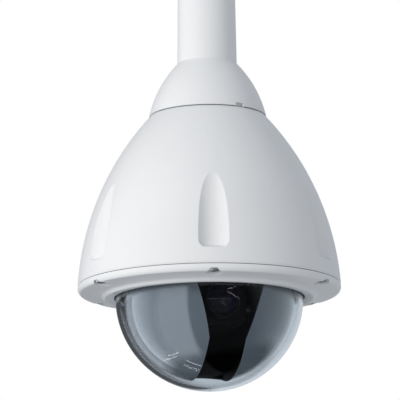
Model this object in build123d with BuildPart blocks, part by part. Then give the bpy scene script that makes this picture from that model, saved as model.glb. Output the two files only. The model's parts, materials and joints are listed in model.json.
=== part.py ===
from build123d import *
import math
import os

os.makedirs("parts", exist_ok=True)

# Pendant pan-tilt-zoom dome camera, millimetres, +Z up.
# The origin is the centre of the pendant pole's top end, and everything hangs below it.
# Heights named in this file are measured from the joint between the bell and the trim ring.
SEAM = -300.0

# Driving dimensions of the outer shell
POLE_TOP = 300.0
POLE_TAPER_TOP = 250.0
POLE_FOOT = 158.0
POLE_RADIUS = 23.9
POLE_FOOT_RADIUS = 24.7
POLE_BORE_RADIUS = 20.4
CAP_TOP = 186.6
CAP_RIM = 141.9
CAP_WALL = 3.5
CAP_ARC_RADIUS = 95.08
CAP_ARC_CENTRE = (-44.17, 121.08)
BELL_TOP = 141.4
BELL_WALL = 3.2
BELL_DECK = 5.0
BELL_ARC_RADIUS = 233.77
BELL_ARC_CENTRE = (-125.32, -15.79)
FLUTE_COUNT = 6
FLUTE_PHASE = -103.0  # direction of the first flute, degrees from +X; the lens rests facing -Y
FLUTE_FOOT = 12.5
FLUTE_SHOULDER = 44.0
FLUTE_TOP = 76.5
FLUTE_WIDTH = 24.0
FLUTE_DEPTH = 6.3
FLUTE_RADIUS = 15.8
FLUTE_CORNER = 7.0
SCREW_CIRCLE = 102.0
BUBBLE_CENTRE = -9.8
BUBBLE_RADIUS = 77.0
BUBBLE_WALL = 3.0

# Driving dimensions of the inner mechanism
CHASSIS_LEVEL = 97.0
CHASSIS_RADIUS = 62.0
STANDOFF_CIRCLE = 38.0
POST_CIRCLE = 50.0
BASE_LEVEL = 70.0
BASE_RADIUS = 64.0
PLATE = 3.0
SHAFT_RADIUS = 12.5
SHAFT_BORE = 8.0
GEAR_LEVEL = 48.0
GEAR_HEIGHT = 6.0
PAN_MODULE = 1.0
PAN_TEETH = 74
PINION_TEETH = 14
TILT_MODULE = 0.8
TILT_TEETH = 50
PLATFORM_LEVEL = 36.0
PLATFORM_RADIUS = 58.0
TILT_LEVEL = -18.0
ARM_INNER = 41.0
SHROUD_RADIUS = 70.0
SHROUD_WALL = 1.2
SHROUD_LIP = 20.0
CASE_WIDTH = 44.0
CASE_HEIGHT = 38.0
CASE_FRONT = -28.0
CASE_REAR = 34.0
BARREL_RADIUS = 14.5
BARREL_BORE = 13.0
ROD_OFFSET = 10.5
SLIP = 0.02  # radial allowance of a fixed pin in its hole
RUN = 0.06  # radial clearance of a turning or sliding pin in its hole

PAN_CENTRES = PAN_MODULE * (PAN_TEETH + PINION_TEETH) / 2
TILT_CENTRES = TILT_MODULE * (TILT_TEETH + PINION_TEETH) / 2
FLUTE_ANGLES = [FLUTE_PHASE + 360.0 / FLUTE_COUNT * i for i in range(FLUTE_COUNT)]

# Half-section plane: first coordinate is the radius, second the height above the seam
SECTION = Plane(origin=(0, 0, SEAM), x_dir=(1, 0, 0), z_dir=(0, -1, 0))


def level(height):
    """Horizontal plane at a height above the seam."""
    return Plane.XY.offset(SEAM + height)


def side(x):
    """Plane across the tilt axis at a distance x from the pan axis; +X points out of it."""
    return Plane(origin=(x, 0, SEAM + TILT_LEVEL), x_dir=(0, 1, 0), z_dir=(1, 0, 0))


def facing(y):
    """Plane across the lens axis at a distance y from the tilt axis; -Y points out of it."""
    return Plane(origin=(0, y, SEAM + TILT_LEVEL), x_dir=(1, 0, 0), z_dir=(0, -1, 0))


def arc_radius(centre, radius, height):
    """Distance from the pan axis of a section arc at a height."""
    return centre[0] + math.sqrt(radius**2 - (height - centre[1]) ** 2)


def bell_radius(height, inset=0.0):
    return arc_radius(BELL_ARC_CENTRE, BELL_ARC_RADIUS - inset, height)


def cap_radius(height, inset=0.0):
    return arc_radius(CAP_ARC_CENTRE, CAP_ARC_RADIUS - inset, height)


def polar(radius, angle):
    """Point on the XY plane at a radius and an angle in degrees."""
    return (radius * math.cos(math.radians(angle)), radius * math.sin(math.radians(angle)))


def flat_ring(outer, inner, low, high):
    """Ring with a rectangular section about the pan axis."""
    with BuildPart() as ring:
        with BuildSketch(level(low)):
            Circle(outer)
            Circle(inner, mode=Mode.SUBTRACT)
        extrude(amount=high - low)
    return ring


def turned(points):
    """Solid of revolution about the pan axis from (radius, height) corners."""
    with BuildPart() as body:
        with BuildSketch(SECTION):
            with BuildLine():
                Polyline(*points, close=True)
            make_face()
        revolve(axis=Axis.Z)
    return body


def shell_zone(radius_at, low, high, outer_inset, inner_inset):
    """Band of the bell or cap wall between two insets from its outer face."""
    middle = (low + high) / 2
    with BuildPart() as zone:
        with BuildSketch(SECTION):
            with BuildLine():
                ThreePointArc(
                    (radius_at(low, outer_inset), low),
                    (radius_at(middle, outer_inset), middle),
                    (radius_at(high, outer_inset), high),
                )
                Line((radius_at(high, outer_inset), high), (radius_at(high, inner_inset), high))
                ThreePointArc(
                    (radius_at(high, inner_inset), high),
                    (radius_at(middle, inner_inset), middle),
                    (radius_at(low, inner_inset), low),
                )
                Line((radius_at(low, inner_inset), low), (radius_at(low, outer_inset), low))
            make_face()
        revolve(axis=Axis.Z)
    return zone


def flute_pad_outline():
    """Arched block on the +X side that covers a flute and one wall thickness round it."""
    half = FLUTE_WIDTH / 2 + BELL_WALL
    foot = FLUTE_FOOT - BELL_WALL
    rise = FLUTE_TOP + BELL_WALL - FLUTE_SHOULDER
    corner = 7.0
    plane = Plane(origin=(60, 0, SEAM), x_dir=(0, 1, 0), z_dir=(1, 0, 0))
    with BuildPart() as block:
        with BuildSketch(plane):
            with BuildLine():
                Line((-half + corner, foot), (half - corner, foot))
                RadiusArc((half - corner, foot), (half, foot + corner), -corner)
                Line((half, foot + corner), (half, FLUTE_SHOULDER))
                EllipticalCenterArc((0, FLUTE_SHOULDER), half, rise, start_angle=0, arc_size=180)
                Line((-half, FLUTE_SHOULDER), (-half, foot + corner))
                RadiusArc((-half, foot + corner), (-half + corner, foot), -corner)
            make_face()
        extrude(amount=60)
    return block


def flute_foot_outline():
    """Block on the +X side above a flute's foot, with the foot's two rounded corners."""
    half = FLUTE_WIDTH / 2 + 0.5
    height = FLUTE_TOP - FLUTE_FOOT + 10
    plane = Plane(origin=(60, 0, SEAM), x_dir=(0, 1, 0), z_dir=(1, 0, 0))
    with BuildPart() as block:
        with BuildSketch(plane) as outline:
            with Locations((0, FLUTE_FOOT + height / 2)):
                Rectangle(2 * half, height)
            fillet(outline.vertices().sort_by(Axis.Y)[:2], FLUTE_CORNER)
        extrude(amount=60)
    return block


def flute_scoop():
    """Straight round cutter on the +X side; it leans inwards less than the wall, so it runs out."""
    low_radius = bell_radius(FLUTE_FOOT) - FLUTE_DEPTH
    lean = Vector(bell_radius(FLUTE_TOP) - low_radius, 0, FLUTE_TOP - FLUTE_FOOT).normalized()
    outwards = Vector(lean.Z, 0, -lean.X)
    start = Vector(low_radius, 0, SEAM + FLUTE_FOOT) + outwards * FLUTE_RADIUS - lean * 20
    with BuildPart() as scoop:
        with BuildSketch(Plane(origin=start, x_dir=outwards, z_dir=lean)):
            Circle(FLUTE_RADIUS)
        extrude(amount=110)
    return scoop


def involute_point(base, radius, start):
    """Point of an involute of the base circle at a radius, turned by a start angle."""
    roll = math.sqrt(max((radius / base) ** 2 - 1, 0.0))
    angle = start + roll - math.atan(roll)
    return (radius * math.cos(angle), radius * math.sin(angle))


def spur_gear(plane, module, teeth, bore, height, phase):
    """Spur gear with stub involute teeth, 20 degree pressure angle; a tooth points at phase."""
    pitch = module * teeth / 2
    base = pitch * math.cos(math.radians(20))
    tip = pitch + 0.78 * module
    root = pitch - 1.05 * module
    play = 0.16 * module
    half_tooth = (math.pi * module / 2 - play) / 2 / pitch
    involute = math.tan(math.radians(20)) - math.radians(20)
    start = -(half_tooth + involute)
    low = max(base, root)
    flank = [involute_point(base, low + (tip - low) * i / 2, start) for i in range(3)]
    heel = (flank[0][0] * root * 0.98 / low, flank[0][1] * root * 0.98 / low)
    mirrored = [(x, -y) for x, y in flank]
    with BuildPart() as gear:
        with BuildSketch(plane):
            Circle(root)
            with Locations(*[Rot(0, 0, phase + 360.0 / teeth * i) for i in range(teeth)]):
                with BuildSketch(mode=Mode.PRIVATE) as tooth:
                    with BuildLine():
                        Line(heel, flank[0])
                        ThreePointArc(*flank)
                        Line(flank[2], mirrored[2])
                        ThreePointArc(mirrored[2], mirrored[1], mirrored[0])
                        Line(mirrored[0], (heel[0], -heel[1]))
                        Line((heel[0], -heel[1]), heel)
                    make_face()
                add(tooth.sketch)
            Circle(bore, mode=Mode.SUBTRACT)
        extrude(amount=height)
    return gear


def screws(plane, places, head, head_height, shank, shank_length, drive):
    """Group of pan-head screws: heads stand on the plane, shanks run behind it."""
    with BuildPart() as group:
        with BuildSketch(plane):
            with Locations(*places):
                Circle(head)
        extrude(amount=head_height)
        fillet(group.edges().group_by(Axis(plane.origin, plane.z_dir))[-1], head_height * 0.35)
        with BuildSketch(plane.offset(head_height)):
            with Locations(*places):
                RegularPolygon(radius=drive, side_count=6)
        extrude(amount=-head_height * 0.55, mode=Mode.SUBTRACT)
        with BuildSketch(plane):
            with Locations(*places):
                Circle(shank)
        extrude(amount=-shank_length)
    return group


def down(height):
    """Horizontal plane facing down at a height above the seam."""
    return Plane(origin=(0, 0, SEAM + height), x_dir=(1, 0, 0), z_dir=(0, 0, -1))


def mirrored_places(places):
    """The same places seen from below, where the plane's second axis points the other way."""
    return [(x, -y) for x, y in places]


# ---------------------------------------------------------------- pendant

pendant_pole = turned(
    [
        (POLE_BORE_RADIUS, POLE_FOOT),
        (POLE_FOOT_RADIUS, POLE_FOOT),
        (POLE_FOOT_RADIUS, CAP_TOP),
        (POLE_RADIUS, POLE_TAPER_TOP),
        (POLE_RADIUS, POLE_TOP),
        (POLE_BORE_RADIUS, POLE_TOP),
    ]
)
pendant_pole.part.label = "pendant_pole"
export_step(pendant_pole.part, "parts/pendant_pole.step")

LOCKNUT_FOOT = 160.0
BOSS_FOOT = 168.0
BOSS_RADIUS = 29.0
with BuildPart() as pole_locknut:
    with BuildSketch(level(LOCKNUT_FOOT)):
        RegularPolygon(radius=32, side_count=6)
        Circle(POLE_FOOT_RADIUS + SLIP, mode=Mode.SUBTRACT)
    extrude(amount=BOSS_FOOT - LOCKNUT_FOOT)
pole_locknut.part.label = "pole_locknut"
export_step(pole_locknut.part, "parts/pole_locknut.step")

CAP_FLANGE_TOP = 148.4
CAP_FLANGE_BORE = 37.0
CAP_CAVITY_TOP = 181.0
CAP_SCREW_CIRCLE = 41.5
NOTCH_ANGLE = -72.0
CAP_SCREW_PLACES = [polar(CAP_SCREW_CIRCLE, 90 * i) for i in range(4)]
with BuildPart() as pendant_cap:
    with BuildSketch(SECTION):
        with BuildLine():
            cap_middle = (CAP_RIM + CAP_TOP) / 2
            ThreePointArc(
                (cap_radius(CAP_RIM), CAP_RIM),
                (cap_radius(cap_middle), cap_middle),
                (cap_radius(CAP_TOP), CAP_TOP),
            )
            Polyline(
                (cap_radius(CAP_TOP), CAP_TOP),
                (0, CAP_TOP),
                (0, CAP_RIM),
                (cap_radius(CAP_RIM), CAP_RIM),
            )
        make_face()
    revolve(axis=Axis.Z)
    with BuildSketch(SECTION):
        with BuildLine():
            cavity_middle = (CAP_FLANGE_TOP + CAP_CAVITY_TOP) / 2
            ThreePointArc(
                (cap_radius(CAP_FLANGE_TOP, CAP_WALL), CAP_FLANGE_TOP),
                (cap_radius(cavity_middle, CAP_WALL), cavity_middle),
                (cap_radius(CAP_CAVITY_TOP, CAP_WALL), CAP_CAVITY_TOP),
            )
            Polyline(
                (cap_radius(CAP_CAVITY_TOP, CAP_WALL), CAP_CAVITY_TOP),
                (0, CAP_CAVITY_TOP),
                (0, CAP_FLANGE_TOP),
                (cap_radius(CAP_FLANGE_TOP, CAP_WALL), CAP_FLANGE_TOP),
            )
        make_face()
    revolve(axis=Axis.Z, mode=Mode.SUBTRACT)
    with BuildSketch(level(BOSS_FOOT)):
        Circle(BOSS_RADIUS)
    extrude(amount=CAP_CAVITY_TOP - BOSS_FOOT)
    with BuildSketch(level(BOSS_FOOT)):
        Circle(POLE_FOOT_RADIUS + SLIP)
    extrude(amount=CAP_TOP - BOSS_FOOT, mode=Mode.SUBTRACT)
    with BuildSketch(level(CAP_RIM)):
        Circle(CAP_FLANGE_BORE)
    extrude(amount=CAP_FLANGE_TOP - CAP_RIM, mode=Mode.SUBTRACT)
    with BuildSketch(level(CAP_RIM)):
        with Locations(*CAP_SCREW_PLACES):
            Circle(2.0 + SLIP)
    extrude(amount=5, mode=Mode.SUBTRACT)
    with BuildSketch(level(CAP_RIM)):
        with Locations(Rot(0, 0, NOTCH_ANGLE) * Pos(cap_radius(CAP_RIM), 0, 0)):
            Rectangle(7, 7.5)
    extrude(amount=2.6, mode=Mode.SUBTRACT)
pendant_cap.part.label = "pendant_cap"
export_step(pendant_cap.part, "parts/pendant_cap.step")

with BuildPart() as cap_gasket:
    with BuildSketch(level(BELL_TOP)):
        Circle(46.2)
        Circle(38, mode=Mode.SUBTRACT)
        with Locations(*CAP_SCREW_PLACES):
            Circle(2.4, mode=Mode.SUBTRACT)
    extrude(amount=CAP_RIM - BELL_TOP)
cap_gasket.part.label = "cap_gasket"
export_step(cap_gasket.part, "parts/cap_gasket.step")

DECK_FOOT = BELL_TOP - BELL_DECK
cap_screws = screws(down(DECK_FOOT), mirrored_places(CAP_SCREW_PLACES), 3.4, 2.6, 2.0, 10.5, 1.5)
cap_screws.part.label = "cap_screws"
export_step(cap_screws.part, "parts/cap_screws.step")

# ---------------------------------------------------------------- bell housing

STANDOFF_PLACES = [polar(STANDOFF_CIRCLE, 45 + 90 * i) for i in range(4)]
BOSS_HEIGHT = 12.0
RING_SCREW_SHANK = 2.5
RING_SCREW_TOP = 9.0
RING_SCREW_PLACES = [polar(SCREW_CIRCLE, angle) for angle in FLUTE_ANGLES]
wall = shell_zone(bell_radius, 0, BELL_TOP, 0, BELL_WALL)
pad_zone = shell_zone(bell_radius, 2, 90, 1, FLUTE_DEPTH + BELL_WALL)
boss_zone = shell_zone(bell_radius, 0, BOSS_HEIGHT, 0.5, 20.0)
with BuildPart() as boss_posts:
    with BuildSketch(level(0)):
        with Locations(*RING_SCREW_PLACES):
            Circle(6.3)
    extrude(amount=BOSS_HEIGHT)
bosses = boss_posts.part & boss_zone.part
flute_pad = flute_pad_outline().part & pad_zone.part
flute_cut = flute_foot_outline().part & flute_scoop().part
with BuildPart() as bell_housing:
    add(wall.part)
    with BuildSketch(level(DECK_FOOT)):
        Circle(bell_radius(DECK_FOOT, BELL_WALL) + 1)
    extrude(amount=BELL_DECK - 0.6)
    with BuildSketch(level(DECK_FOOT)):
        Circle(bell_radius(BELL_TOP, BELL_WALL) + 1)
    extrude(amount=BELL_DECK)
    add(bosses)
    for angle in FLUTE_ANGLES:
        add(flute_pad.rotate(Axis.Z, angle))
    for angle in FLUTE_ANGLES:
        add(flute_cut.rotate(Axis.Z, angle), mode=Mode.SUBTRACT)
    with BuildSketch(level(0)):
        with Locations(*RING_SCREW_PLACES):
            Circle(RING_SCREW_SHANK + SLIP)
    extrude(amount=RING_SCREW_TOP + 0.5, mode=Mode.SUBTRACT)
    with BuildSketch(level(DECK_FOOT)):
        Circle(22)
        with Locations(*CAP_SCREW_PLACES):
            Circle(2.4)
    extrude(amount=BELL_DECK, mode=Mode.SUBTRACT)
    with BuildSketch(level(DECK_FOOT)):
        with Locations(*STANDOFF_PLACES):
            Circle(2 + SLIP)
    extrude(amount=4, mode=Mode.SUBTRACT)
bell_housing.part.label = "bell_housing"
export_step(bell_housing.part, "parts/bell_housing.step")

# ---------------------------------------------------------------- trim ring and bubble

RING_TOP = -0.5
RECESS_FLOOR = -7.4
RECESS_RADIUS = 86.4
BEZEL_RADIUS = 78.2
COUNTERBORE_FLOOR = -4.0
CLAMP_CIRCLE = 89.8
CLAMP_SCREW_PLACES = [polar(CLAMP_CIRCLE, 22.5 + 45 * i) for i in range(8)]
ring_gasket = flat_ring(107.2, 104.9, RING_TOP, 0)
ring_gasket.part.label = "ring_gasket"
export_step(ring_gasket.part, "parts/ring_gasket.step")

with BuildPart() as trim_ring:
    with BuildSketch(SECTION):
        with BuildLine():
            Line((RECESS_RADIUS, RING_TOP), (107.5, RING_TOP))
            ThreePointArc((107.5, RING_TOP), (107.9, -3.2), (106.2, -6.1))
            ThreePointArc((106.2, -6.1), (105.6, -6.4), (104.6, -6.5))
            Line((104.6, -6.5), (89.6, -8.1))
            ThreePointArc((89.6, -8.1), (88.2, -8.7), (87.2, -9.8))
            ThreePointArc((87.2, -9.8), (86.0, -11.0), (84.4, -11.1))
            Line((84.4, -11.1), (BEZEL_RADIUS, -10.4))
            Line((BEZEL_RADIUS, -10.4), (BEZEL_RADIUS, RECESS_FLOOR))
            Line((BEZEL_RADIUS, RECESS_FLOOR), (RECESS_RADIUS, RECESS_FLOOR))
            Line((RECESS_RADIUS, RECESS_FLOOR), (RECESS_RADIUS, RING_TOP))
        make_face()
    revolve(axis=Axis.Z)
    with BuildSketch(level(-12)):
        with Locations(*RING_SCREW_PLACES):
            Circle(6.2)
    extrude(amount=12 + COUNTERBORE_FLOOR, mode=Mode.SUBTRACT)
    with BuildSketch(level(-12)):
        with Locations(*RING_SCREW_PLACES):
            Circle(2.8)
    extrude(amount=12, mode=Mode.SUBTRACT)
    with BuildSketch(level(-5)):
        with Locations(*CLAMP_SCREW_PLACES):
            Circle(1.5 + SLIP)
    extrude(amount=5, mode=Mode.SUBTRACT)
trim_ring.part.label = "trim_ring"
export_step(trim_ring.part, "parts/trim_ring.step")

trim_ring_screws = screws(
    down(COUNTERBORE_FLOOR),
    mirrored_places(RING_SCREW_PLACES),
    5.0,
    2.6,
    RING_SCREW_SHANK,
    RING_SCREW_TOP - COUNTERBORE_FLOOR,
    2.3,
)
trim_ring_screws.part.label = "trim_ring_screws"
export_step(trim_ring_screws.part, "parts/trim_ring_screws.step")

FLANGE_FOOT = -6.4
FLANGE_TOP = -3.4
dome_gasket = flat_ring(86.0, BUBBLE_RADIUS + 0.4, RECESS_FLOOR, FLANGE_FOOT)
dome_gasket.part.label = "dome_gasket"
export_step(dome_gasket.part, "parts/dome_gasket.step")


def bowl(outer, wall_thickness, rim_height):
    """Hemispherical shell about the bubble's centre with a straight rim above it."""
    inner = outer - wall_thickness
    half = math.sqrt(0.5)
    with BuildPart() as shell:
        with BuildSketch(SECTION):
            with BuildLine():
                ThreePointArc(
                    (0, BUBBLE_CENTRE - outer),
                    (outer * half, BUBBLE_CENTRE - outer * half),
                    (outer, BUBBLE_CENTRE),
                )
                Polyline(
                    (outer, BUBBLE_CENTRE), (outer, rim_height), (inner, rim_height), (inner, BUBBLE_CENTRE)
                )
                ThreePointArc(
                    (inner, BUBBLE_CENTRE),
                    (inner * half, BUBBLE_CENTRE - inner * half),
                    (0, BUBBLE_CENTRE - inner),
                )
                Line((0, BUBBLE_CENTRE - inner), (0, BUBBLE_CENTRE - outer))
            make_face()
        revolve(axis=Axis.Z)
    return shell


bubble_shell = bowl(BUBBLE_RADIUS, BUBBLE_WALL, FLANGE_TOP)
with BuildPart() as clear_dome:
    add(bubble_shell.part)
    with BuildSketch(level(FLANGE_FOOT)):
        Circle(86.0)
        Circle(BUBBLE_RADIUS - BUBBLE_WALL, mode=Mode.SUBTRACT)
    extrude(amount=FLANGE_TOP - FLANGE_FOOT)
clear_dome.part.label = "clear_dome"
export_step(clear_dome.part, "parts/clear_dome.step")

CLAMP_TOP = 1.4
with BuildPart() as dome_clamp_ring:
    with BuildSketch(level(FLANGE_TOP)):
        Circle(86.0)
        Circle(76.0, mode=Mode.SUBTRACT)
    extrude(amount=CLAMP_TOP - FLANGE_TOP)
    with BuildSketch(level(RING_TOP)):
        Circle(93.0)
        Circle(76.0, mode=Mode.SUBTRACT)
    extrude(amount=CLAMP_TOP - RING_TOP)
    with BuildSketch(level(RING_TOP)):
        with Locations(*CLAMP_SCREW_PLACES):
            Circle(1.7)
    extrude(amount=CLAMP_TOP - RING_TOP, mode=Mode.SUBTRACT)
dome_clamp_ring.part.label = "dome_clamp_ring"
export_step(dome_clamp_ring.part, "parts/dome_clamp_ring.step")

dome_clamp_screws = screws(level(CLAMP_TOP), CLAMP_SCREW_PLACES, 2.6, 1.8, 1.5, 5.8, 1.1)
dome_clamp_screws.part.label = "dome_clamp_screws"
export_step(dome_clamp_screws.part, "parts/dome_clamp_screws.step")

# ---------------------------------------------------------------- chassis and electronics

CHASSIS_TOP = CHASSIS_LEVEL + PLATE
FAN_X = -43.0
POST_PLACES = [polar(POST_CIRCLE, 30 + 120 * i) for i in range(3)]
with BuildPart() as standoffs:
    with BuildSketch(level(CHASSIS_TOP)):
        with Locations(*STANDOFF_PLACES):
            RegularPolygon(radius=4, side_count=6)
    extrude(amount=DECK_FOOT - CHASSIS_TOP)
    with BuildSketch(level(DECK_FOOT)):
        with Locations(*STANDOFF_PLACES):
            Circle(2)
    extrude(amount=3.6)
    with BuildSketch(level(CHASSIS_TOP)):
        with Locations(*STANDOFF_PLACES):
            Circle(1.9 + SLIP)
    extrude(amount=8, mode=Mode.SUBTRACT)
standoffs.part.label = "standoffs"
export_step(standoffs.part, "parts/standoffs.step")

chassis_screws = screws(
    down(CHASSIS_LEVEL), mirrored_places(STANDOFF_PLACES), 3.2, 2.4, 1.9, 10.5, 1.4
)
chassis_screws.part.label = "chassis_screws"
export_step(chassis_screws.part, "parts/chassis_screws.step")

with BuildPart() as chassis_plate:
    with BuildSketch(level(CHASSIS_LEVEL)):
        Circle(CHASSIS_RADIUS)
        Circle(11 + SLIP, mode=Mode.SUBTRACT)
        with Locations(*STANDOFF_PLACES):
            Circle(2.2, mode=Mode.SUBTRACT)
        with Locations(*POST_PLACES):
            Circle(2 + SLIP, mode=Mode.SUBTRACT)
        with Locations((FAN_X, 0)):
            Circle(12, mode=Mode.SUBTRACT)
    extrude(amount=PLATE)
chassis_plate.part.label = "chassis_plate"
export_step(chassis_plate.part, "parts/chassis_plate.step")

BOARD_LEVEL = 108.0
BOARD_HOLES = [(x, y) for x in (-20, 20) for y in (-17, 17)]
with BuildPart() as board_spacers:
    with BuildSketch(level(CHASSIS_TOP)):
        with Locations(*BOARD_HOLES):
            Circle(2.5)
    extrude(amount=BOARD_LEVEL - CHASSIS_TOP)
board_spacers.part.label = "board_spacers"
export_step(board_spacers.part, "parts/board_spacers.step")

with BuildPart() as interface_board:
    with BuildSketch(level(BOARD_LEVEL)):
        RectangleRounded(50, 44, 2)
        with Locations(*BOARD_HOLES):
            Circle(1.2, mode=Mode.SUBTRACT)
    extrude(amount=1.6)
    with BuildSketch(level(BOARD_LEVEL + 1.6)):
        with Locations((-12, -8)):
            RectangleRounded(16, 14, 1)
        with Locations((6, -12), (15, -12), (15, -3)):
            Circle(3.5)
    extrude(amount=9)
    with BuildSketch(level(BOARD_LEVEL + 1.6)):
        with Locations((2, 0)):
            Rectangle(8, 8)
    extrude(amount=1.4)
interface_board.part.label = "interface_board"
export_step(interface_board.part, "parts/interface_board.step")

TERMINAL_PLACES = [(-15 + 5 * i, 13) for i in range(7)]
with BuildPart() as terminal_block:
    with BuildSketch(level(BOARD_LEVEL + 1.6)):
        with Locations((0, 14)):
            Rectangle(38, 9)
    extrude(amount=9)
    chamfer(terminal_block.edges().filter_by(Axis.X).group_by(Axis.Z)[-1].sort_by(Axis.Y)[0], 3)
    with BuildSketch(level(BOARD_LEVEL + 10.6)):
        with Locations(*[(x, 15) for x, _ in TERMINAL_PLACES]):
            Circle(1.6)
    extrude(amount=-4, mode=Mode.SUBTRACT)
terminal_block.part.label = "terminal_block"
export_step(terminal_block.part, "parts/terminal_block.step")

with BuildPart() as heater_block:
    with BuildSketch(level(CHASSIS_TOP)):
        with Locations((44, 0)):
            Rectangle(16, 36)
    extrude(amount=4)
    with BuildSketch(level(CHASSIS_TOP + 4)):
        with Locations(*[(44, -16.5 + 5.5 * i) for i in range(7)]):
            Rectangle(16, 2)
    extrude(amount=13)
heater_block.part.label = "heater_block"
export_step(heater_block.part, "parts/heater_block.step")

with BuildPart() as thermostat:
    with BuildSketch(level(CHASSIS_TOP)):
        with Locations((0, 50)):
            Circle(6)
    extrude(amount=4)
    with BuildSketch(level(CHASSIS_TOP + 4)):
        with Locations((-2.5, 50), (2.5, 50)):
            Rectangle(0.8, 3)
    extrude(amount=5)
thermostat.part.label = "thermostat"
export_step(thermostat.part, "parts/thermostat.step")

FAN_HEIGHT = 10.0
with BuildPart() as fan_frame:
    with BuildSketch(level(CHASSIS_TOP)):
        with Locations((FAN_X, 0)):
            RectangleRounded(32, 32, 2.5)
            Circle(14.6, mode=Mode.SUBTRACT)
            with GridLocations(27, 27, 2, 2):
                Circle(1.5, mode=Mode.SUBTRACT)
    extrude(amount=FAN_HEIGHT)
    with BuildSketch(level(CHASSIS_TOP)):
        with Locations((FAN_X, 0)):
            Circle(6)
            Rectangle(30, 2)
            Rectangle(2, 30)
    extrude(amount=1.4)
    with BuildSketch(level(CHASSIS_TOP + 1.4)):
        with Locations((FAN_X, 0)):
            Circle(1)
    extrude(amount=6)
fan_frame.part.label = "fan_frame"
export_step(fan_frame.part, "parts/fan_frame.step")

BLADE_FOOT = 2.4
with BuildPart() as fan_rotor:
    with BuildSketch(level(CHASSIS_TOP + BLADE_FOOT)):
        with Locations((FAN_X, 0)):
            Circle(6.5)
            with PolarLocations(0, 7):
                with Locations((9.8, 0)):
                    Rectangle(7.8, 1.4, rotation=12)
    extrude(amount=6.6)
    with BuildSketch(level(CHASSIS_TOP + BLADE_FOOT)):
        with Locations((FAN_X, 0)):
            Circle(1 + RUN)
    extrude(amount=5.4, mode=Mode.SUBTRACT)
fan_rotor.part.label = "fan_rotor"
export_step(fan_rotor.part, "parts/fan_rotor.step")

STATOR_FOOT = 80.0
ROTOR_TOP = 96.0
with BuildPart() as slip_ring_stator:
    with BuildSketch(level(STATOR_FOOT)):
        Circle(11)
    extrude(amount=CHASSIS_TOP - STATOR_FOOT)
    with BuildSketch(level(CHASSIS_TOP)):
        Circle(16)
    extrude(amount=2)
    with BuildSketch(level(STATOR_FOOT)):
        Circle(7.4)
    extrude(amount=ROTOR_TOP + 1 - STATOR_FOOT, mode=Mode.SUBTRACT)
slip_ring_stator.part.label = "slip_ring_stator"
export_step(slip_ring_stator.part, "parts/slip_ring_stator.step")

BASE_TOP = BASE_LEVEL + 4
with BuildPart() as frame_posts:
    with BuildSketch(level(BASE_TOP)):
        with Locations(*POST_PLACES):
            Circle(4)
    extrude(amount=CHASSIS_LEVEL - BASE_TOP)
    with BuildSketch(level(BASE_LEVEL)):
        with Locations(*POST_PLACES):
            Circle(2)
    extrude(amount=CHASSIS_TOP - BASE_LEVEL)
frame_posts.part.label = "frame_posts"
export_step(frame_posts.part, "parts/frame_posts.step")

# ---------------------------------------------------------------- pan drive

HUB_FOOT = 60.0
BEARING_LEVEL = 62.0
BEARING_HEIGHT = 8.0
BEARING_OUTER = 24.0
RACE_OUTER = 20.0
RACE_INNER = 16.0
with BuildPart() as pan_base:
    with BuildSketch(level(BASE_LEVEL)):
        Circle(BASE_RADIUS)
        with Locations((PAN_CENTRES, 0)):
            Circle(4, mode=Mode.SUBTRACT)
        with Locations(*POST_PLACES):
            Circle(2 + SLIP, mode=Mode.SUBTRACT)
        with PolarLocations(47, 3, start_angle=90):
            SlotCenterToCenter(16, 10, mode=Mode.SUBTRACT)
    extrude(amount=BASE_TOP - BASE_LEVEL)
    with BuildSketch(level(HUB_FOOT)):
        Circle(28)
    extrude(amount=BASE_LEVEL - HUB_FOOT)
    with BuildSketch(level(HUB_FOOT)):
        Circle(21.5)
    extrude(amount=BASE_TOP - HUB_FOOT, mode=Mode.SUBTRACT)
    with BuildSketch(level(BEARING_LEVEL)):
        Circle(BEARING_OUTER + SLIP)
    extrude(amount=BASE_TOP - BEARING_LEVEL, mode=Mode.SUBTRACT)
pan_base.part.label = "pan_base"
export_step(pan_base.part, "parts/pan_base.step")

with BuildPart() as pan_motor:
    with BuildSketch(level(BASE_TOP)):
        with Locations((PAN_CENTRES, 0)):
            RectangleRounded(35, 35, 5)
    extrude(amount=20)
    with BuildSketch(level(BASE_TOP + 6)):
        with Locations((PAN_CENTRES, 0)):
            RectangleRounded(35, 35, 5)
            Circle(17.2, mode=Mode.SUBTRACT)
    extrude(amount=8, mode=Mode.SUBTRACT)
    with BuildSketch(level(BASE_TOP)):
        with Locations((PAN_CENTRES, 0)):
            Circle(2.8)
    extrude(amount=17.5, mode=Mode.SUBTRACT)
pan_motor.part.label = "pan_motor"
export_step(pan_motor.part, "parts/pan_motor.step")

MOTOR_SHAFT_FOOT = 46.0
pan_pinion_gear = spur_gear(
    Plane(origin=(PAN_CENTRES, 0, SEAM + GEAR_LEVEL)),
    PAN_MODULE,
    PINION_TEETH,
    0.5,
    GEAR_HEIGHT,
    180 + 180 / PINION_TEETH,
)
with BuildPart() as pan_pinion:
    add(pan_pinion_gear.part)
    with BuildSketch(level(GEAR_LEVEL + GEAR_HEIGHT)):
        with Locations((PAN_CENTRES, 0)):
            Circle(5)
    extrude(amount=5)
    with BuildSketch(level(MOTOR_SHAFT_FOOT)):
        with Locations((PAN_CENTRES, 0)):
            Circle(2.5)
    extrude(amount=BASE_TOP + 17 - MOTOR_SHAFT_FOOT)
pan_pinion.part.label = "pan_pinion"
export_step(pan_pinion.part, "parts/pan_pinion.step")

pan_bearing_outer = flat_ring(
    BEARING_OUTER, RACE_OUTER, BEARING_LEVEL, BEARING_LEVEL + BEARING_HEIGHT
)
pan_bearing_outer.part.label = "pan_bearing_outer"
export_step(pan_bearing_outer.part, "parts/pan_bearing_outer.step")

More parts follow.
